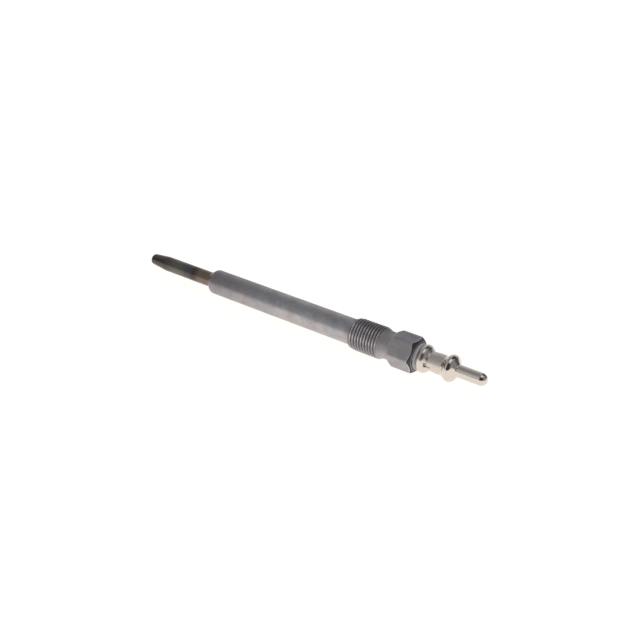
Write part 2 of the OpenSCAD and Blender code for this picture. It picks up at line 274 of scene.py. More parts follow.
def fill(tree, sockets, values):
    """Link or set the first sockets of a node."""
    for socket, value in zip(sockets, values):
        if isinstance(value, bpy.types.NodeSocket):
            tree.links.new(value, socket)
        else:
            socket.default_value = value


def math_node(tree, operation, *values):
    """A math node in a shader or geometry tree; values are numbers or sockets."""
    node = tree.nodes.new("ShaderNodeMath")
    node.operation = operation
    fill(tree, node.inputs, values)
    return node.outputs[0]


def put(tree, kind, inputs=None, **settings):
    """A node with its settings and its inputs by name."""
    node = tree.nodes.new(kind)
    for key, value in settings.items():
        setattr(node, key, value)
    for key, value in (inputs or {}).items():
        fill(tree, [node.inputs[key]], [value])
    return node


def ramp_node(tree, factor, stops):
    """A colour ramp over stops of place and linear colour."""
    node = tree.nodes.new("ShaderNodeValToRGB")
    elements = node.color_ramp.elements
    while len(elements) < len(stops):
        elements.new(0.5)
    for element, (at, rgb) in zip(elements, stops):
        element.position = at
        element.color = (*rgb, 1.0)
    tree.links.new(factor, node.inputs["Fac"])
    return node.outputs["Color"]


def blend_colour(tree, factor, low, high):
    """Mix of two colours, each a socket or a linear colour."""
    node = tree.nodes.new("ShaderNodeMix")
    node.data_type = "RGBA"
    for name, value in (("Factor_Float", factor), ("A_Color", low), ("B_Color", high)):
        socket = next(s for s in node.inputs if s.identifier == name)
        is_colour = not isinstance(value, bpy.types.NodeSocket) and name != "Factor_Float"
        fill(tree, [socket], [(*value, 1.0) if is_colour else value])
    return next(s for s in node.outputs if s.identifier == "Result_Color")


def span(tree, value, low, high, to_low=0.0, to_high=1.0, kind="LINEAR"):
    """Map a value from one range to another, held at the ends."""
    node = put(tree, "ShaderNodeMapRange", clamp=True, interpolation_type=kind)
    fill(tree, node.inputs, (value, low, high, to_low, to_high))
    return node.outputs["Result"]


def follow(tree, mask, at_none, at_full):
    """A value that follows a mask from 0 to 1."""
    return span(tree, mask, 0.0, 1.0, at_none, at_full)


def tint(tree, base, mask, rgb, strength):
    """Lay a colour over a base where a mask says."""
    return blend_colour(tree, math_node(tree, "MULTIPLY", mask, strength), base, rgb)


def scaled(rgb, factor):
    """A colour at another brightness."""
    return [factor * c for c in rgb]


def shader_group(name, inputs, outputs):
    """An empty shader group with float sockets; inputs carry their defaults."""
    tree = bpy.data.node_groups.new(name, "ShaderNodeTree")
    for key, value in inputs:
        socket = tree.interface.new_socket(key, in_out="INPUT", socket_type="NodeSocketFloat")
        socket.default_value = value
    for key in outputs:
        tree.interface.new_socket(key, in_out="OUTPUT", socket_type="NodeSocketFloat")
    start = tree.nodes.new("NodeGroupInput")
    end = tree.nodes.new("NodeGroupOutput")
    return tree, start.outputs, end.inputs


def coordinates(tree):
    """Object coordinates, in metres."""
    return put(tree, "ShaderNodeTexCoord").outputs["Object"]


def along_axis(tree):
    """Place along the plug's axis, in metres from the seat."""
    return put(tree, "ShaderNodeSeparateXYZ", {"Vector": coordinates(tree)}).outputs["X"]


def turned_grain_group():
    """Fine lines round the axis, as a lathe tool leaves them: spacing along it, spread per metre across."""
    tree, given, made = shader_group(
        "Turned grain", [("Spacing", 0.1 * MM), ("Spread", 400.0)], ["Line"])
    along = math_node(tree, "DIVIDE", 1.0, given["Spacing"])
    scale = put(tree, "ShaderNodeCombineXYZ", {"X": along, "Y": given["Spread"], "Z": given["Spread"]})
    vector = put(tree, "ShaderNodeVectorMath", operation="MULTIPLY")
    fill(tree, vector.inputs, (coordinates(tree), scale.outputs["Vector"]))
    noise = put(tree, "ShaderNodeTexNoise", {
        "Vector": vector.outputs["Vector"], "Scale": 1.0, "Detail": 2.0, "Roughness": 0.6})
    tree.links.new(noise.outputs["Fac"], made["Line"])
    return tree


def clouding_group():
    """Soft uneven patches, such as plating clouds, haze and scale."""
    tree, given, made = shader_group(
        "Clouding", [("Size", 3 * MM), ("Low", 0.35), ("High", 0.7)], ["Mask"])
    scale = math_node(tree, "DIVIDE", 1.0, given["Size"])
    noise = put(tree, "ShaderNodeTexNoise", {
        "Vector": coordinates(tree), "Scale": scale, "Detail": 5.0, "Roughness": 0.62})
    tree.links.new(span(tree, noise.outputs["Fac"], given["Low"], given["High"]), made["Mask"])
    return tree


def speckle_group():
    """Small pits and grains."""
    tree, given, made = shader_group("Speckle", [("Size", 0.3 * MM), ("Cover", 0.4)], ["Mask"])
    scale = math_node(tree, "DIVIDE", 1.0, given["Size"])
    cells = put(tree, "ShaderNodeTexVoronoi", {"Vector": coordinates(tree), "Scale": scale})
    mask = span(tree, cells.outputs["Distance"], 0.0, given["Cover"], 1.0, 0.0)
    tree.links.new(mask, made["Mask"])
    return tree


SHARED_GROUPS = {
    "Turned grain": turned_grain_group,
    "Clouding": clouding_group,
    "Speckle": speckle_group,
}


def use_group(tree, name, **values):
    """Place a shared group in a material with its own values."""
    made = bpy.data.node_groups.get(name) or SHARED_GROUPS[name]()
    node = put(tree, "ShaderNodeGroup", node_tree=made)
    for key, value in values.items():
        node.inputs[key].default_value = value
    return node.outputs[0]


def new_material(name, **constants):
    """A material with one Principled shader; constants go on its own sockets."""
    material = bpy.data.materials.new(name)
    material.use_nodes = True
    tree = material.node_tree
    tree.nodes.clear()
    shader = tree.nodes.new("ShaderNodeBsdfPrincipled")
    output = tree.nodes.new("ShaderNodeOutputMaterial")
    tree.links.new(shader.outputs["BSDF"], output.inputs["Surface"])
    for key, value in constants.items():
        shader.inputs[key.replace("_", " ")].default_value = value
    return material, tree, shader


def dress(tree, shader, base, rough, *bumps):
    """Feed a shader its colour, its roughness and a chain of bumps: height, and depth in metres."""
    tree.links.new(base, shader.inputs["Base Color"])
    tree.links.new(rough, shader.inputs["Roughness"])
    normal = None
    for height, depth in bumps:
        bump = put(tree, "ShaderNodeBump", {"Height": height, "Distance": depth, "Strength": 1.0})
        if normal is not None:
            tree.links.new(normal, bump.inputs["Normal"])
        normal = bump.outputs["Normal"]
    tree.links.new(normal, shader.inputs["Normal"])


def attribute(tree, name):
    """A value that the mesh carries at its points."""
    return put(tree, "ShaderNodeAttribute", attribute_name=name).outputs["Fac"]


# Materials

# The body's finish: length of the darker seat end, and how far ahead of the thread's start and past it
# the plating turns matt
SEAT_SHADE = 34 * MM
MATT_AHEAD = 1.8 * MM
MATT_PAST = 2.2 * MM
# Depth marks between which painted shade darkens a thread groove; a face that carries the deeper one is all
# dark, as the hexagon's rear chamfer and end face are
GROOVE_PALE = 0.2
GROOVE_DARK = 1.3
# How far the edges of the heat tints wander along the sheath
TINT_WANDER = 0.4 * MM
# Roughness that the satin adds on the base bead and on the barrel, and the length over which it changes
SATIN_BASE = 0.10
SATIN_BARREL = 0.24
SATIN_EDGE = 0.4 * MM


def plated_steel(look, thread_x):
    """Grey plating with turning lines, a mottled film, painted shade in the thread's grooves, a dark rear
    chamfer and end face, rubbed edges and a painted highlight on the thread's crests; matt at the rear.
    """
    material, tree, shader = new_material("plated_steel", Metallic=1.0)
    grain = use_group(tree, "Turned grain", Spacing=0.09 * MM, Spread=260.0)
    film = use_group(tree, "Clouding", Size=5.5 * MM, Low=0.36, High=0.66)
    cloud = use_group(tree, "Clouding", Size=4.2 * MM, Low=0.36, High=0.72)
    fine = use_group(tree, "Clouding", Size=1.2 * MM, Low=0.3, High=0.75)
    wear = attribute(tree, "wear")
    axis = along_axis(tree)
    seat_end = span(tree, axis, 0.0, SEAT_SHADE, 1.0, 0.0)
    matt = span(tree, axis, thread_x - MATT_AHEAD, thread_x + MATT_PAST)
    groove = span(tree, attribute(tree, "groove"), GROOVE_PALE, GROOVE_DARK)
    base = blend_colour(tree, film, look.steel_cool, look.steel_warm)
    base = tint(tree, base, cloud, look.steel_dark_and_shade, strength=0.22)
    base = tint(tree, base, fine, look.steel_dark_and_shade, strength=0.26)
    base = tint(tree, base, seat_end, look.steel_dark_and_shade, strength=0.48)
    base = tint(tree, base, matt, look.steel_worn_and_highlight, strength=0.08)
    # Painted shade in the thread's grooves; the hexagon's dark rear chamfer and end face share this mask
    base = blend_colour(tree, groove, base, look.steel_dark_and_shade)
    # Rubbed edges take the worn colour, and the thread's crests take it as a painted highlight
    base = tint(tree, base, wear, look.steel_worn_and_highlight, strength=follow(tree, fine, 1.0, 0.8))
    rough = math_node(tree, "ADD", follow(tree, cloud, 0.31, 0.41), follow(tree, grain, 0.0, 0.08))
    rough = math_node(tree, "ADD", rough, follow(tree, matt, 0.0, 0.32))
    rough = math_node(tree, "SUBTRACT", rough, follow(tree, wear, 0.0, 0.35))
    dress(tree, shader, base, rough, (grain, 4 * MICRON), (fine, 4 * MICRON))
    return material


def tinted_sheath(look):
    """Scaled and heat-tinted alloy: black at the tip, blue and then bronze towards the seat."""
    material, tree, shader = new_material("tinted_sheath", Metallic=0.85)
    cloud = use_group(tree, "Clouding", Size=2.2 * MM, Low=0.3, High=0.75)
    fine = use_group(tree, "Speckle", Size=0.22 * MM, Cover=0.5)
    grain = use_group(tree, "Turned grain", Spacing=0.12 * MM, Spread=300.0)
    # Each tint is even between two shares of the way from the tip to the seat
    bands = (
        (look.scale_black, (0.0, 0.26)),
        (look.scale_green, (0.42, 0.53)),
        (look.tint_blue, (0.635, 0.68)),
        (look.tint_brown, (0.715, 0.75)),
        (look.tint_bronze, (0.835, 1.0)))
    stops = [(at, rgb) for rgb, ends in bands for at in ends]
    wander = follow(tree, cloud, -TINT_WANDER, TINT_WANDER)
    along = span(tree, math_node(tree, "ADD", along_axis(tree), wander), SHEATH_LOW.x, 0.0)
    base = ramp_node(tree, along, stops)
    base = tint(tree, base, cloud, look.scale_black, strength=0.35)
    rough = follow(tree, cloud, 0.22, 0.36)
    dress(tree, shader, base, rough, (grain, 4 * MICRON), (fine, 4 * MICRON))
    return material


def bright_nickel(look, barrel_x, bead_x):
    """Warm nickel plate: satin up to the snap bead, mirror-like on the bead and the pin, with painted shade
    along two edges of each crimp mark.
    """
    material, tree, shader = new_material("bright_nickel", Metallic=1.0)
    grain = use_group(tree, "Turned grain", Spacing=0.16 * MM, Spread=160.0)
    drawn = use_group(tree, "Turned grain", Spacing=20 * MM, Spread=6000.0)
    haze = use_group(tree, "Clouding", Size=2.4 * MM, Low=0.45, High=0.85)
    crease = attribute(tree, "crease")
    axis = along_axis(tree)
    base = tint(tree, look.nickel, haze, look.nickel_dull, strength=0.35)
    # Painted shade along each crimp mark's edge by the base bead and its lower edge
    base = tint(tree, base, crease, look.nickel_shade, strength=0.75)
    barrel = span(tree, axis, barrel_x - SATIN_EDGE, barrel_x, SATIN_BASE, SATIN_BARREL)
    before_bead = span(tree, axis, bead_x - SATIN_EDGE, bead_x, SATIN_BARREL, 0.0)
    rough = math_node(tree, "ADD", follow(tree, haze, 0.12, 0.2), follow(tree, grain, 0.0, 0.03))
    rough = math_node(tree, "ADD", rough, math_node(tree, "MINIMUM", barrel, before_bead))
    dress(tree, shader, base, rough, (grain, 1.2 * MICRON), (drawn, 6 * MICRON), (haze, 4 * MICRON))
    return material


def moulded_plastic(look):
    """Matt grey-green moulding."""
    material, tree, shader = new_material("moulded_plastic", Metallic=0.0)
    cloud = use_group(tree, "Clouding", Size=1.6 * MM, Low=0.3, High=0.75)
    grain = use_group(tree, "Speckle", Size=0.14 * MM, Cover=0.6)
    base = tint(tree, look.plastic, cloud, scaled(look.plastic, 0.82), strength=0.6)
    dress(tree, shader, base, follow(tree, cloud, 0.42, 0.55), (grain, 6 * MICRON))
    return material


def plain_finish(name, rgb, metallic, roughness, grain_size):
    """Finish of an inner piece: one colour with a fine uneven grain."""
    material, tree, shader = new_material(name, Metallic=metallic)
    cloud = use_group(tree, "Clouding", Size=grain_size, Low=0.3, High=0.75)
    base = tint(tree, rgb, cloud, scaled(rgb, 0.7), strength=0.5)
    dress(tree, shader, base, follow(tree, cloud, roughness, roughness + 0.12), (cloud, 10 * MICRON))
    return material


# Turned meshes

FINE_EDGE = 0.05 * MM
# A corner of a half outline: its edge is an arc of so many steps, and cuts divide the stretch up to the
# next corner; wear marks the arc, and dark marks the stretch
Corner = namedtuple("Corner", "x r round steps cuts wear dark", defaults=(FINE_EDGE, 3, 0, 0.0, 0.0))
# Share of the shorter side of a corner that its arc may take up
ARC_SHARE = 0.98
# Distance of the first and last cut from the ends of a stretch, and its greatest share of the stretch
SUPPORT = 0.06 * MM
SUPPORT_SHARE = 0.2
# Points round the axis, and those of the terminal, whose crimp marks need more
AROUND = 128
TERMINAL_AROUND = 216


def arc(before, here, after, radius, steps):
    """Points of the round that replaces a corner."""
    to_before, to_after = before - here, after - here
    reach = ARC_SHARE * min(np.linalg.norm(to_before), np.linalg.norm(to_after))
    to_before, to_after = (v / np.linalg.norm(v) for v in (to_before, to_after))
    half = math.acos(max(-1.0, min(1.0, float(to_before @ to_after)))) / 2
    run = min(radius / math.tan(half), reach)
    middle = to_before + to_after
    centre = here + middle / np.linalg.norm(middle) * run / math.cos(half)
    first, last = here + to_before * run - centre, here + to_after * run - centre
    sweep = math.pi - 2 * half
    shares = np.linspace(0, 1, steps + 1)[:, None]
    swung = np.sin((1 - shares) * sweep) * first + np.sin(shares * sweep) * last
    return centre + swung / math.sin(sweep)


def between(start, end, cuts):
    """Points that divide a straight stretch, with one close to each end."""
    if cuts == 0:
        return np.empty((0, 2))
    edge = min(SUPPORT / max(np.linalg.norm(end - start), 1e-9), SUPPORT_SHARE)
    shares = np.array([0.5]) if cuts == 1 else np.linspace(edge, 1 - edge, cuts)
    return start + shares[:, None] * (end - start)


def rounded_profile(corners, closed):
    """Points along a half outline with rounded corners, and their marks: worn corners, dark stretches."""
    spots = [np.array((corner.x, corner.r)) for corner in corners]
    count = len(corners)
    arcs = []
    for i, corner in enumerate(corners):
        if not closed and i in (0, count - 1):
            arcs.append(spots[i][None, :])
        else:
            arcs.append(arc(spots[i - 1], spots[i], spots[(i + 1) % count], corner.round, corner.steps))
    points, wear, dark = [], [], []
    for i, corner in enumerate(corners):
        cuts = np.empty((0, 2))
        if closed or i < count - 1:
            cuts = between(arcs[i][-1], arcs[(i + 1) % count][0], corner.cuts)
        points += [arcs[i], cuts]
        wear += [np.full(len(arcs[i]), corner.wear), np.zeros(len(cuts))]
        dark += [np.zeros(len(arcs[i])), np.full(len(cuts), corner.dark)]
    return np.concatenate(points), {"wear": np.concatenate(wear), "groove": np.concatenate(dark)}


def turned_mesh(name, rows, angles, marks, closed):
    """Mesh of rows of place and radius at each angle; open rows end in poles on the axis."""
    count, around = rows.shape[:2]
    x, r = rows[..., 0], rows[..., 1]
    verts = np.stack((x, r * np.cos(angles), r * np.sin(angles)), axis=-1).reshape(-1, 3)
    ring = np.arange(around)
    after = (ring + 1) % around
    faces = []
    for i in range(count if closed else count - 1):
        low, high = i * around, ((i + 1) % count) * around
        if not closed and i == 0:
            faces += [(low, high + b, high + a) for a, b in zip(ring, after)]
        elif not closed and i == count - 2:
            faces += [(low + a, low + b, high) for a, b in zip(ring, after)]
        else:
            faces += [(low + a, low + b, high + b, high + a) for a, b in zip(ring, after)]
    keep = np.ones(len(verts), bool)
    if not closed:
        keep[1:around] = False
        keep[-around + 1:] = False
        number = np.cumsum(keep) - 1
        number[1:around] = 0
        number[-around + 1:] = number[-around]
        verts = verts[keep]
        faces = [[int(number[v]) for v in face] for face in faces]
    mesh = bpy.data.meshes.new(name)
    mesh.from_pydata(verts.tolist(), [], [[int(v) for v in face] for face in faces])
    for key, values in marks.items():
        spread = np.broadcast_to(values.reshape(count, -1), (count, around)).ravel()[keep]
        mesh.attributes.new(key, "FLOAT", "POINT").data.foreach_set("value", spread.astype(np.float32))
    mesh.shade_smooth()
    mesh.validate()
    return mesh


def plain_rows(profile, around):
    """The same half outline at every angle."""
    return np.repeat(profile[:, None, :], around, axis=1)


def even_angles(around):
    """Angles evenly spaced round the axis."""
    return np.arange(around) * math.tau / around


def plain_turning(name, corners, closed):
    """Mesh of one half outline turned round the axis, for a finish that reads no marks."""
    profile, _ = rounded_profile(corners, closed)
    return turned_mesh(name, plain_rows(profile, AROUND), even_angles(AROUND), {}, closed)


def add_piece(name, mesh, material, node):
    """A finished piece that rides on the plug's body and stands for a solid."""
    mesh.materials.clear()
    mesh.materials.append(material)
    piece = bpy.data.objects.new(name, mesh)
    bpy.context.scene.collection.objects.link(piece)
    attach(piece, BODY)
    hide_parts(node)
    return piece


# Geometry Nodes

def geometry_tree(name, inputs, with_mesh):
    """An empty geometry tree with float inputs and a material; gives its sockets by name."""
    tree = bpy.data.node_groups.new(name, "GeometryNodeTree")
    tree.is_modifier = True
    tree.interface.new_socket("Geometry", in_out="OUTPUT", socket_type="NodeSocketGeometry")
    if with_mesh:
        tree.interface.new_socket("Geometry", in_out="INPUT", socket_type="NodeSocketGeometry")
    for key in inputs:
        tree.interface.new_socket(key, in_out="INPUT", socket_type="NodeSocketFloat")
    tree.interface.new_socket("Material", in_out="INPUT", socket_type="NodeSocketMaterial")
    start = tree.nodes.new("NodeGroupInput")
    end = tree.nodes.new("NodeGroupOutput")
    return tree, start.outputs, end.inputs["Geometry"]


def finish_tree(tree, geometry, given, made):
    """End a tree in Realize Instances and Set Material."""
    real = put(tree, "GeometryNodeRealizeInstances", {"Geometry": geometry})
    coat = put(tree, "GeometryNodeSetMaterial", {
        "Geometry": real.outputs["Geometry"], "Material": given["Material"]})
    tree.links.new(coat.outputs["Geometry"], made)


def keep_mark(tree, geometry, name, value):
    """Mark the points of a mesh with a value, or leave the mark that is there if it is higher."""
    there = put(tree, "GeometryNodeInputNamedAttribute", {"Name": name}, data_type="FLOAT")
    higher = math_node(tree, "MAXIMUM", value, there.outputs["Attribute"])
    store = put(tree, "GeometryNodeStoreNamedAttribute", {
        "Geometry": geometry, "Name": name, "Value": higher}, data_type="FLOAT", domain="POINT")
    return store.outputs["Geometry"]


# The thread's form in shares of the pitch from a crest: where the flank and the root start, and where the
# painted highlight on the crests starts to fade and ends
FLANK_FROM = 0.02
ROOT_FROM = 0.44
SHINE_FULL = 0.12
SHINE_END = 0.31
# Cosines of the angle from the highlight side at which the painted highlight has faded and at which it is
# full, and the share of it that is left all round
HIGHLIGHT_FADED = 0.82
HIGHLIGHT_FULL = 0.985
HIGHLIGHT_REST = 0.15
# Lowest depth mark on the thread, which its crests carry, so the whole thread takes a little painted shade
THREAD_MARK = 0.5


def thread_tree():
    """Cuts a right-hand thread into a turned mesh: a point lies on the blank or in the groove."""
    tree, given, made = geometry_tree("Cut thread", [
        "Crest radius", "Depth", "Pitch", "Turn", "Start", "Run-out start", "Run-out",
        "Rubbed side"], True)
    calc = partial(math_node, tree)
    position = tree.nodes.new("GeometryNodeInputPosition").outputs["Position"]
    split = put(tree, "ShaderNodeSeparateXYZ", {"Vector": position})
    x, y, z = (split.outputs[key] for key in "XYZ")
    radius = calc("SQRT", calc("MULTIPLY_ADD", y, y, calc("MULTIPLY", z, z)))
    round_axis = calc("ARCTAN2", z, y)
    turns = calc("DIVIDE", calc("SUBTRACT", round_axis, given["Turn"]), math.tau)
    phase = calc("SUBTRACT", calc("DIVIDE", x, given["Pitch"]), turns)
    from_crest = calc("PINGPONG", phase, 0.5)
    form = span(tree, from_crest, FLANK_FROM, ROOT_FROM, kind="SMOOTHSTEP")
    past = calc("SUBTRACT", x, given["Run-out start"])
    ending = span(tree, calc("DIVIDE", past, given["Run-out"]), 0.0, 1.0, 1.0, 0.0)
    cut = calc("MULTIPLY", calc("MULTIPLY", form, given["Depth"]), ending)
    grooved = calc("MINIMUM", radius, calc("SUBTRACT", given["Crest radius"], cut))
    past_end = calc("GREATER_THAN", past, given["Run-out"])
    wanted = calc("MULTIPLY_ADD", past_end, calc("SUBTRACT", radius, grooved), grooved)
    ratio = calc("DIVIDE", wanted, radius)
    spot = put(tree, "ShaderNodeCombineXYZ", {
        "X": x, "Y": calc("MULTIPLY", y, ratio), "Z": calc("MULTIPLY", z, ratio)})
    threaded = calc("MULTIPLY", calc("GREATER_THAN", x, given["Start"]), ending)
    depth = calc("DIVIDE", calc("SUBTRACT", radius, wanted), given["Depth"])
    depth = calc("MAXIMUM", depth, calc("MULTIPLY", threaded, THREAD_MARK))
    facing = calc("COSINE", calc("SUBTRACT", round_axis, given["Rubbed side"]))
    # Painted highlight: the crests take the worn colour, strongest on one side round the axis
    shine = calc("MULTIPLY", span(tree, from_crest, SHINE_FULL, SHINE_END, 1.0, 0.0), threaded)
    shine = calc("MULTIPLY", shine, calc("LESS_THAN", past, 0.0))
    shine = calc("MULTIPLY", shine, span(tree, facing, HIGHLIGHT_FADED, HIGHLIGHT_FULL, HIGHLIGHT_REST, 1.0))
    # The depth is kept as the groove mark, which paints shade into the thread's grooves
    marked = keep_mark(tree, given["Geometry"], "groove", depth)
    marked = keep_mark(tree, marked, "wear", shine)
    move = put(tree, "GeometryNodeSetPosition", {"Geometry": marked, "Position": spot.outputs["Vector"]})
    finish_tree(tree, move.outputs["Geometry"], given, made)
    return tree


WIRE_SIDES = 10


def coil_tree():
    """Winds a wire inside the sheath: it follows the tapered tip, then leads in to the axis."""
    tree, given, made = geometry_tree("Wind coil", [
        "From", "To", "Turns", "First turn", "Lead", "Lead share", "Points",
        "Coil radius", "Tip radius", "Tip place", "Tip slope", "Wire radius"], False)
    calc = partial(math_node, tree)
    line = put(tree, "GeometryNodeCurvePrimitiveLine", mode="POINTS")
    resample = put(tree, "GeometryNodeResampleCurve", {
        "Curve": line.outputs["Curve"], "Count": given["Points"]}, mode="COUNT")
    factor = tree.nodes.new("GeometryNodeSplineParameter").outputs["Factor"]
    wound = calc("SUBTRACT", 1.0, given["Lead share"])
    along = calc("MINIMUM", calc("DIVIDE", factor, wound), 1.0)
    past = calc("MAXIMUM", calc("SUBTRACT", factor, wound), 0.0)
    leading = calc("DIVIDE", past, calc("MAXIMUM", given["Lead share"], 1e-6))
    reach = calc("SUBTRACT", given["To"], given["From"])
    coil_x = calc("MULTIPLY_ADD", reach, along, given["From"])
    lead_x = calc("MULTIPLY", given["Lead"], calc("MULTIPLY", leading, leading))
    from_tip = calc("SUBTRACT", coil_x, given["Tip place"])
    tapered = calc("MULTIPLY_ADD", from_tip, given["Tip slope"], given["Tip radius"])
    left = calc("SUBTRACT", 1.0, leading)
    wound_r = calc("MINIMUM", given["Coil radius"], tapered)
    radius = calc("MULTIPLY", wound_r, calc("MULTIPLY", left, left))
    turns = calc("MULTIPLY_ADD", factor, given["Turns"], given["First turn"])
    angle = calc("MULTIPLY", turns, math.tau)
    spot = put(tree, "ShaderNodeCombineXYZ", {
        "X": calc("SUBTRACT", coil_x, lead_x),
        "Y": calc("MULTIPLY", radius, calc("COSINE", angle)),
        "Z": calc("MULTIPLY", radius, calc("SINE", angle))})
    path = put(tree, "GeometryNodeSetPosition", {
        "Geometry": resample.outputs["Curve"], "Position": spot.outputs["Vector"]})
    section = put(tree, "GeometryNodeCurvePrimitiveCircle", {
        "Resolution": WIRE_SIDES, "Radius": given["Wire radius"]}, mode="RADIUS")
    sweep = put(tree, "GeometryNodeCurveToMesh", {
        "Curve": path.outputs["Geometry"], "Profile Curve": section.outputs["Curve"], "Fill Caps": True})
    smooth = put(tree, "GeometryNodeSetShadeSmooth", {"Geometry": sweep.outputs["Mesh"]})
    finish_tree(tree, smooth.outputs["Geometry"], given, made)
    return tree


def grow(name, tree, material, values, mesh=None):
    """Run a geometry tree with named values and give its result as a plain mesh."""
    maker = bpy.data.objects.new(name, mesh or bpy.data.meshes.new(name))
    bpy.context.scene.collection.objects.link(maker)
    modifier = maker.modifiers.new(tree.name, "NODES")
    modifier.node_group = tree
    sockets = {item.name: item.identifier for item in tree.interface.items_tree
               if item.in_out == "INPUT" and item.socket_type != "NodeSocketGeometry"}
    for key, value in {**values, "Material": material}.items():
        modifier[sockets[key]] = value
    bpy.context.view_layer.update()
    evaluated = maker.evaluated_get(bpy.context.evaluated_depsgraph_get())
    result = bpy.data.meshes.new_from_object(evaluated)
    maker.modifiers.remove(modifier)
    bpy.data.objects.remove(maker)
    if not result.polygons:
        raise RuntimeError(f"{tree.name} made no faces for {name}")
    result.name = name
    return result


# Pieces

HEX_SIDES = 6
# Degrees to each side of a corner where the points lie closer, and the points of a corner and a flat
CORNER_SPREAD = 4
CORNER_POINTS = 7
FLAT_POINTS = 20
# Rows of points in each pitch of the thread
ROWS_PER_PITCH = 16


def hexagon_angles():
    """Angles round the axis in radians, closer together at the hexagon's corners."""
    sector = 360 / HEX_SIDES
    corner = np.linspace(-CORNER_SPREAD, CORNER_SPREAD, CORNER_POINTS)
    flat = np.linspace(CORNER_SPREAD, sector - CORNER_SPREAD, FLAT_POINTS + 2)[1:-1]
    turns = np.arange(HEX_SIDES) * sector
    return np.radians((turns[:, None] + np.concatenate((corner, flat))).ravel())


def hexagon_radius(angle, flat, corner_round):
    """Radius of a hexagon with rounded corners; its corners lie at 0 degrees and every 60."""
    step = math.tau / HEX_SIDES
    off_corner = abs((angle + step / 2) % step - step / 2)
    off_flat = step / 2 - off_corner
    inner = flat - corner_round
    if flat * math.tan(off_flat) <= inner * math.tan(step / 2):
        return flat / math.cos(off_flat)
    middle = inner / math.cos(step / 2)
    beyond = math.sqrt(corner_round ** 2 - (middle * math.sin(off_corner)) ** 2)
    return middle * math.cos(off_corner) + beyond


def body_corners(s, flat_r):
    """Corners of the body's section at one angle, from the seat round to the sheath's bore."""
    seat_r = SHEATH_HIGH.z + s.seat_lip
    seat_len = (s.sleeve_r - seat_r) / math.tan(s.seat_angle / 2)
    lead_x = s.thread_x + s.lead_chamfer
    neck_x = THREAD_END_X + s.neck_taper
    neck_r = THREAD_R - s.neck_depth
    hex_x = neck_x + s.neck_len
    end_x = SHELL_HIGH.x
    corner_r = SHELL_HIGH.y
    bore_r = SHEATH_HIGH.z + s.fit_gap
    wide_r = SHEATH_HIGH.z + s.bore_relief
    seal_r = ROD_HIGH.z + s.seal_room
    face_r = seal_r + s.end_lip
    front_x = hex_x + s.hex_front * (flat_r - neck_r) / (corner_r - neck_r)
    rear_x = end_x - s.hex_rear * (flat_r - face_r) / (corner_r - face_r)
    lead_rows = round(ROWS_PER_PITCH / s.pitch * (THREAD_FULL_X - lead_x))
    thread_rows = round(ROWS_PER_PITCH / s.pitch * 2 * THREAD_HALF)
    return [
        Corner(0.0, bore_r, s.mouth_edge, 2, 1),
        Corner(0.0, seat_r, s.lip_edge, 3, 4, wear=0.8),
        Corner(seat_len, s.sleeve_r, s.seat_round, 8, 44),
        Corner(s.thread_x, s.sleeve_r, s.sleeve_edge, 3, 10),
        Corner(lead_x, THREAD_R - s.lead_drop, s.lead_edge, 3, lead_rows, wear=0.2),
        Corner(THREAD_FULL_X, THREAD_R, s.lead_round, 3, thread_rows),
        Corner(THREAD_END_X, THREAD_R, s.thread_edge, 4, 18),
        Corner(neck_x, neck_r, s.neck_round, 5, 4),
        Corner(hex_x, neck_r, s.hex_foot, 4, 4),
        Corner(front_x, flat_r, s.front_edge, 5, 12, wear=0.15),
        Corner(rear_x, flat_r, s.rear_edge, 4, 4, wear=1.0, dark=GROOVE_DARK),
        Corner(end_x, face_r, s.face_edge, 3, 3, wear=0.3, dark=GROOVE_DARK),
        Corner(end_x, seal_r, FINE_EDGE, 2, 3),
        Corner(end_x - s.seal_depth, seal_r, FINE_EDGE, 2, 1),
        Corner(end_x - s.seal_depth, wide_r, FINE_EDGE, 2, 30),
        Corner(SHEATH_HIGH.x, wide_r, FINE_EDGE, 2, 1),
        Corner(SHEATH_HIGH.x, bore_r, FINE_EDGE, 2, 12),
    ]


class OBJECT_OT_glow_plug_body(bpy.types.Operator):
    """Turn the steel body, shape its hexagon and cut its thread"""

    bl_idname = "glow_plug.body"
    bl_label = "Body"

    def execute(self, context):
        s = context.scene.glow_plug_body
        angles = hexagon_angles()
        radii = [hexagon_radius(angle, SHELL_HIGH.z, s.hex_round) for angle in angles]
        sections = [rounded_profile(body_corners(s, flat_r), True) for flat_r in radii]
        rows = np.stack([points for points, _ in sections], axis=1)
        blank = turned_mesh("plug_shell", rows, angles, sections[0][1], True)
        finish = plated_steel(context.scene.glow_plug_finishes, s.thread_x)
        mesh = grow("plug_shell", thread_tree(), finish, {
            "Crest radius": THREAD_R, "Depth": s.thread_depth, "Pitch": s.pitch, "Turn": s.thread_turn,
            "Start": s.thread_x + s.lead_chamfer,
            "Run-out start": THREAD_END_X + s.run_over, "Run-out": s.run_out,
            "Rubbed side": s.highlight_side}, blank)
        add_piece("plug_shell", mesh, finish, "plug_body")
        return {"FINISHED"}


def sheath_inside(s):
    """Place and radius of the corner inside the closed tip, and the slope of the swaged taper."""
    slope = s.tip_draw / s.tip_taper
    tip_in_r = SHEATH_HIGH.z - s.tip_draw + s.tip_wall * slope - s.wall * math.hypot(1, slope)
    return SHEATH_LOW.x + s.tip_wall, tip_in_r, slope


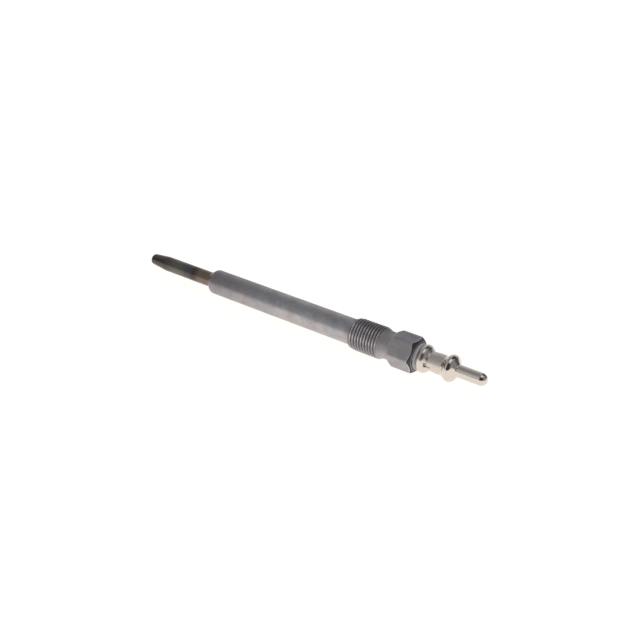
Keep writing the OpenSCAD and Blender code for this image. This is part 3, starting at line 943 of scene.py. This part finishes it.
class OBJECT_OT_glow_plug_sheath(bpy.types.Operator):
    """Turn the closed heater sheath"""

    bl_idname = "glow_plug.sheath"
    bl_label = "Heater sheath"

    def execute(self, context):
        s = context.scene.glow_plug_sheath
        radius, tip_x, end_x = SHEATH_HIGH.z, SHEATH_LOW.x, SHEATH_HIGH.x
        in_r = radius - s.wall
        tip_in_x, tip_in_r, slope = sheath_inside(s)
        mesh = plain_turning("heater_tube", [
            Corner(tip_x, 0.0, cuts=3),
            Corner(tip_x, radius - s.tip_draw, s.tip_round, 8, 12),
            Corner(tip_x + s.tip_taper, radius, s.taper_round, 8, 40),
            Corner(end_x, radius, s.end_edge, 3, 2),
            Corner(end_x, in_r, s.end_edge, 3, 20),
            Corner(tip_in_x + (in_r - tip_in_r) / slope, in_r, s.inner_round, 4, 6),
            Corner(tip_in_x, tip_in_r, s.inner_edge, 3, 2),
            Corner(tip_in_x, 0.0),
        ], False)
        finish = tinted_sheath(context.scene.glow_plug_finishes)
        add_piece("heater_tube", mesh, finish, "heater_sheath")
        return {"FINISHED"}


# Points in each turn of a coil, and the part of a turn over which the heating coil leads in to its weld
POINTS_PER_TURN = 28
LEAD_TURNS = 2 / 3


class OBJECT_OT_glow_plug_coils(bpy.types.Operator):
    """Wind the heating coil and the regulating coil inside the sheath"""

    bl_idname = "glow_plug.coils"
    bl_label = "Coils"

    def execute(self, context):
        s = context.scene.glow_plug_sheath
        look = context.scene.glow_plug_finishes
        tip_in_x, tip_in_r, slope = sheath_inside(s)
        inset = s.coil_cover + s.reg_wire
        start_x = ROD_LOW.x + s.nose_len - 2 * s.reg_wire
        joint_x = tip_in_x + s.heat_len
        turns = s.heat_turns + LEAD_TURNS
        shared = {
            "Coil radius": SHEATH_HIGH.z - s.wall - inset, "Tip radius": tip_in_r - inset,
            "Tip place": tip_in_x, "Tip slope": slope}
        wire = plain_finish("drawn_wire", look.wire, metallic=1.0, roughness=0.3, grain_size=0.5 * MM)
        tree = coil_tree()
        regulating = grow("regulating_wire", tree, wire, {
            **shared, "From": start_x, "To": joint_x, "Turns": s.reg_turns, "First turn": 0.0,
            "Lead": 0.0, "Lead share": 0.0, "Points": s.reg_turns * POINTS_PER_TURN,
            "Wire radius": s.reg_wire})
        heating = grow("heating_wire", tree, wire, {
            **shared, "From": joint_x, "To": tip_in_x + s.heat_lead, "Turns": turns,
            "First turn": float(s.reg_turns), "Lead": s.heat_lead, "Lead share": LEAD_TURNS / turns,
            "Points": turns * POINTS_PER_TURN, "Wire radius": s.heat_wire})
        add_piece("regulating_wire", regulating, wire, "regulating_coil")
        add_piece("heating_wire", heating, wire, "heating_coil")
        return {"FINISHED"}


class OBJECT_OT_glow_plug_insulator(bpy.types.Operator):
    """Mould the plastic ring between the body and the terminal"""

    bl_idname = "glow_plug.insulator"
    bl_label = "Insulating ring"

    def execute(self, context):
        s = context.scene.glow_plug_terminal
        body = context.scene.glow_plug_body
        spigot_r = ROD_HIGH.z + body.seal_room - body.fit_gap
        bore_r = ROD_HIGH.z + body.fit_gap
        mesh = plain_turning("plastic_ring", [
            Corner(RING_LOW.x, bore_r, cuts=2),
            Corner(RING_LOW.x, spigot_r, s.ring_edge, 3, 3),
            Corner(SHELL_HIGH.x, spigot_r, cuts=1),
            Corner(SHELL_HIGH.x, RING_HIGH.z, s.ring_edge, 3, 4),
            Corner(RING_HIGH.x, RING_HIGH.z, s.ring_round, 6, 4),
            Corner(RING_HIGH.x, bore_r, cuts=5),
        ], True)
        finish = moulded_plastic(context.scene.glow_plug_finishes)
        add_piece("plastic_ring", mesh, finish, "insulating_ring")
        return {"FINISHED"}


# The crimp marks: width of their soft rim, angle round the axis that one can reach to each side, and how
# far the painted shade along their edges reaches, in edge widths
CRIMP_RIM = 0.09 * MM
CRIMP_REACH = math.radians(60)
SHADE_REACH = 1.3


def press_crimps(rows, angles, s, barrel_r, crimp_x):
    """Press two flat marks into opposite sides of the barrel; gives the painted shade along their edge by
    the base bead and their lower edge too.
    """
    x, r = rows[..., 0], rows[..., 1]
    edges = np.zeros_like(r)
    floor_r = barrel_r - s.crimp_depth
    inside_x = np.minimum(x - crimp_x, crimp_x + s.crimp_len - x)
    for side, way in ((math.pi, 1), (0.0, -1)):
        off = ((angles - side - way * s.crimp_turn + math.pi) % math.tau - math.pi)[None, :]
        pressed = (np.abs(off) < CRIMP_REACH) & (r > floor_r)
        low = way * r * np.sin(off)
        inside = np.minimum(inside_x, s.crimp_w / 2 - np.abs(low))
        weight = np.clip(inside / CRIMP_RIM + 0.5, 0, 1)
        weight = np.where(pressed, weight * weight * (3 - 2 * weight), 0.0)
        flat = floor_r / np.maximum(np.cos(off), math.cos(CRIMP_REACH))
        base_end = np.where(np.abs(low) < s.crimp_w / 2, np.abs(x - crimp_x), np.inf)
        low_side = np.where(inside_x > 0, np.abs(low - s.crimp_w / 2), np.inf)
        crease = np.clip(SHADE_REACH - np.minimum(base_end, low_side) / s.crimp_edge, 0, 1)
        edges = np.maximum(edges, np.where(pressed, crease, 0.0))
        r = r - weight * np.maximum(r - flat, 0.0)
    return np.stack((x, r), axis=-1), edges


def crest_corner(top, rear, front, crest_r):
    """Offset and radius of the sharp corner that a bead's round crest replaces."""
    core = top - crest_r
    at_rear = core + crest_r / math.cos(rear)
    at_front = core + crest_r / math.cos(front)
    off = (at_front - at_rear) / (math.tan(rear) + math.tan(front))
    return off, at_rear + math.tan(rear) * off


# Share of the pin's radius that its domed end takes up
DOME_SHARE = 0.97


class OBJECT_OT_glow_plug_terminal(bpy.types.Operator):
    """Turn the nickel-plated terminal with its two beads and press its crimp marks"""

    bl_idname = "glow_plug.terminal"
    bl_label = "Terminal"

    def execute(self, context):
        s = context.scene.glow_plug_terminal
        gap = context.scene.glow_plug_body.fit_gap
        bore_r = ROD_HIGH.z + gap
        barrel_r = ROD_HIGH.z + s.barrel_wall
        waist_r = barrel_r - s.waist_depth
        pin_r = PIN["dims"]["r_mm"] * MM
        start_x, end_x = TERMINAL_LOW.x, TERMINAL_HIGH.x
        base_x = start_x + s.base_crest
        bead_x = base_x + s.bead_gap
        base_off, base_top = crest_corner(TERMINAL_HIGH.z, s.base_rear, s.base_front, s.base_round)
        bead_off, bead_top = crest_corner(barrel_r + s.bead_rise, s.bead_rear, s.bead_front, s.bead_round)
        base_rear_r = base_top - (s.base_crest + base_off) * math.tan(s.base_rear)
        base_foot = base_x + base_off + (base_top - waist_r) / math.tan(s.base_front)
        bead_rear_foot = bead_x + bead_off - (bead_top - barrel_r) / math.tan(s.bead_rear)
        bead_front_foot = bead_x + bead_off + (bead_top - pin_r) / math.tan(s.bead_front)
        profile, _ = rounded_profile([
            Corner(ROD_HIGH.x + gap, 0.0, cuts=2),
            Corner(ROD_HIGH.x + gap, bore_r, FINE_EDGE, 2, 12),
            Corner(start_x, bore_r, FINE_EDGE, 2, 3),
            Corner(start_x, base_rear_r, s.base_edge, 3, 3),
            Corner(base_x + base_off, base_top, s.base_round, 12, 5),
            Corner(base_foot, waist_r, s.foot_round, 10, 44),
            Corner(base_foot + s.waist_len, barrel_r, s.waist_round, 3, 16),
            Corner(bead_rear_foot, barrel_r, s.foot_round, 8, 6),
            Corner(bead_x + bead_off, bead_top, s.bead_round, 12, 8),
            Corner(bead_front_foot, pin_r, s.pin_round, 6, 24),
            Corner(end_x, pin_r, DOME_SHARE * pin_r, 18, 1),
            Corner(end_x, 0.0),
        ], False)
        angles = even_angles(TERMINAL_AROUND)
        rows = plain_rows(profile, TERMINAL_AROUND)
        run = s.foot_round * math.tan(s.base_front / 2)
        rows, edges = press_crimps(rows, angles, s, barrel_r, base_foot - run)
        mesh = turned_mesh("terminal_post", rows, angles, {"crease": edges}, False)
        finish = bright_nickel(context.scene.glow_plug_finishes, base_foot, bead_rear_foot)
        add_piece("terminal_post", mesh, finish, "terminal")
        return {"FINISHED"}


class OBJECT_OT_glow_plug_inner(bpy.types.Operator):
    """Give the sealed inner solids their finishes"""

    bl_idname = "glow_plug.inner"
    bl_label = "Inner pieces"

    def execute(self, context):
        look = context.scene.glow_plug_finishes
        rod = plain_finish("drawn_rod", look.rod, metallic=1.0, roughness=0.28, grain_size=1 * MM)
        powder = plain_finish(
            "packed_powder", look.powder, metallic=0.0, roughness=0.85, grain_size=0.3 * MM)
        elastomer = plain_finish(
            "elastomer", look.elastomer, metallic=0.0, roughness=0.6, grain_size=0.4 * MM)
        finishes = {
            "connecting_rod": rod, "insulating_powder": powder,
            "sheath_seal": elastomer, "body_seal": elastomer}
        for name, finish in finishes.items():
            mesh = frame["nodes"][name].data
            mesh.materials.clear()
            mesh.materials.append(finish)
        return {"FINISHED"}


# Stage

FLOOR_HALF = 4.0
FLOOR_CLOUD = 0.4
FLOOR_DROP = 0.02 * MM


def studio_floor(look, glow):
    """A wide floor just under the plug, lit so evenly that it shows no shadow."""
    z = CAD_BOX[0].z - FLOOR_DROP
    mesh = bpy.data.meshes.new("floor")
    corners = [(-1, -1), (1, -1), (1, 1), (-1, 1)]
    mesh.from_pydata([(FLOOR_HALF * x, FLOOR_HALF * y, z) for x, y in corners], [], [(0, 1, 2, 3)])
    material, tree, shader = new_material(
        "pale_floor", Roughness=0.9, Specular_IOR_Level=0.0,
        Emission_Color=(*look.floor_light, 1.0), Emission_Strength=glow)
    cloud = use_group(tree, "Clouding", Size=FLOOR_CLOUD, Low=0.2, High=0.8)
    base = tint(tree, look.floor, cloud, scaled(look.floor, 0.98), strength=0.3)
    tree.links.new(base, shader.inputs["Base Color"])
    mesh.materials.append(material)
    floor = bpy.data.objects.new("floor", mesh)
    bpy.context.scene.collection.objects.link(floor)


def view_axes(stage):
    """Right, up and back of the camera."""
    side = math.sin(stage.view_angle)
    back = Vector((
        math.cos(stage.view_angle),
        -side * math.cos(stage.view_height),
        side * math.sin(stage.view_height)))
    right = Vector((0, 0, 1)).cross(back).normalized()
    roll = Matrix.Rotation(stage.view_roll, 3, back)
    return roll @ right, roll @ back.cross(right), back


def studio_camera(stage):
    """The camera at the photograph's place."""
    right, up, back = view_axes(stage)
    from_middle = Vector(stage.aim_px) - Vector((PHOTO_PX / 2, PHOTO_PX / 2))
    off = from_middle * stage.distance / stage.focal_px
    data = bpy.data.cameras.new("camera")
    data.sensor_width = SENSOR_MM
    data.lens = stage.focal_px / PHOTO_PX * SENSOR_MM
    data.clip_start = 10 * MM
    camera = bpy.data.objects.new("camera", data)
    turned = Matrix((right, up, back)).transposed().to_4x4()
    aim = Vector((stage.aim_x, 0, 0))
    spot = aim + back * stage.distance - right * off.x + up * off.y
    camera.matrix_world = Matrix.Translation(spot) @ turned
    bpy.context.scene.collection.objects.link(camera)
    bpy.context.scene.camera = camera


# Heights, from the floor's level to overhead, at which the room has its low, middle and top brightness
ROOM_HEIGHTS = (0.0, 0.4, 0.85)
# Patches of the room: direction, angle where the patch fades out, angle of its even part, brightness
ROOM_PATCHES = (
    ((-0.93, -0.35, 0.10), 40, 16, 0.16),
    ((-0.30, 0.95, 0.10), 62, 30, 0.64),
    ((0.80, 0.59, 0.05), 60, 30, 0.70),
    ((0.95, -0.05, 0.35), 42, 28, 0.30),
    ((0.56, 0.76, 0.33), 26, 16, 0.11),
    ((0.15, 0.62, 0.77), 26, 18, 0.05),
    ((0.38, -0.80, 0.45), 40, 31, 0.05),
    ((0.20, -0.10, 1.00), 24, 15, 1.00),
)


def room_patch(tree, direction, centre, outer, inner):
    """Share of a round patch of the room, by the angle from its centre in degrees."""
    toward = put(tree, "ShaderNodeVectorMath", operation="DOT_PRODUCT")
    fill(tree, toward.inputs, (direction, Vector(centre).normalized()))
    ends = [math.cos(math.radians(angle)) for angle in (outer, inner)]
    return span(tree, toward.outputs["Value"], *ends, kind="SMOOTHSTEP")


def studio_light(stage, tone):
    """A broad overhead light that metal doesn't mirror, and a room with pale and dark patches."""
    sun = bpy.data.lights.new("overhead", "SUN")
    sun.energy = stage.sun
    sun.angle = stage.sun_spread
    lamp = bpy.data.objects.new("overhead", sun)
    lamp.visible_glossy = False
    bpy.context.scene.collection.objects.link(lamp)
    world = bpy.data.worlds.new("room")
    bpy.context.scene.world = world
    world.use_nodes = True
    tree = world.node_tree
    tree.nodes.clear()
    direction = put(tree, "ShaderNodeTexCoord").outputs["Generated"]
    height = put(tree, "ShaderNodeSeparateXYZ", {"Vector": direction}).outputs["Z"]
    levels = (stage.room_low, stage.room_middle, stage.room_top)
    shown = ramp_node(tree, span(tree, height, 0.0, 1.0), [
        (at, scaled(tone, level)) for at, level in zip(ROOM_HEIGHTS, levels)])
    for centre, outer, inner, level in ROOM_PATCHES:
        patch = room_patch(tree, direction, centre, outer, inner)
        shown = blend_colour(tree, patch, shown, scaled(tone, level))
    light = put(tree, "ShaderNodeBackground", {"Color": shown, "Strength": 1.0})
    output = tree.nodes.new("ShaderNodeOutputWorld")
    tree.links.new(light.outputs["Background"], output.inputs["Surface"])


class OBJECT_OT_glow_plug_stage(bpy.types.Operator):
    """Lay the floor, hang the light and set the camera"""

    bl_idname = "glow_plug.stage"
    bl_label = "Stage"

    def execute(self, context):
        stage = context.scene.glow_plug_stage
        look = context.scene.glow_plug_finishes
        studio_floor(look, stage.floor_glow)
        studio_camera(stage)
        studio_light(stage, look.room)
        context.scene.view_settings.view_transform = "Standard"
        return {"FINISHED"}


class VIEW3D_PT_glow_plug(bpy.types.Panel):
    """Sidebar panel that lists the pieces and their sizes"""

    bl_label = "Glow Plug"
    bl_idname = "VIEW3D_PT_glow_plug"
    bl_space_type = "VIEW_3D"
    bl_region_type = "UI"
    bl_category = "Glow Plug"

    def draw(self, context):
        layout = self.layout
        for operator in OPERATORS:
            layout.operator(operator.bl_idname)
        for name, kind in SETTINGS.items():
            box = layout.box()
            box.label(text=kind.__doc__)
            group = getattr(context.scene, name)
            for key in kind.__annotations__:
                box.prop(group, key)


SETTINGS = {
    "glow_plug_body": GlowPlugBodySizes,
    "glow_plug_sheath": GlowPlugSheathSizes,
    "glow_plug_terminal": GlowPlugTerminalSizes,
    "glow_plug_finishes": GlowPlugFinishes,
    "glow_plug_stage": GlowPlugStage,
}
OPERATORS = (
    OBJECT_OT_glow_plug_stage,
    OBJECT_OT_glow_plug_body,
    OBJECT_OT_glow_plug_sheath,
    OBJECT_OT_glow_plug_coils,
    OBJECT_OT_glow_plug_insulator,
    OBJECT_OT_glow_plug_terminal,
    OBJECT_OT_glow_plug_inner,
)
CLASSES = (*SETTINGS.values(), *OPERATORS, VIEW3D_PT_glow_plug)


def register():
    """Register the classes and hang the settings on the scene."""
    for kind in CLASSES:
        bpy.utils.register_class(kind)
    for name, kind in SETTINGS.items():
        setattr(bpy.types.Scene, name, PointerProperty(type=kind))


def unregister():
    """Undo register."""
    for name in SETTINGS:
        delattr(bpy.types.Scene, name)
    for kind in reversed(CLASSES):
        bpy.utils.unregister_class(kind)


def main():
    """Build the pieces and the stage."""
    register()
    bpy.ops.glow_plug.stage()
    bpy.ops.glow_plug.body()
    bpy.ops.glow_plug.sheath()
    bpy.ops.glow_plug.coils()
    bpy.ops.glow_plug.insulator()
    bpy.ops.glow_plug.terminal()
    bpy.ops.glow_plug.inner()


if __name__ == "__main__":
    main()
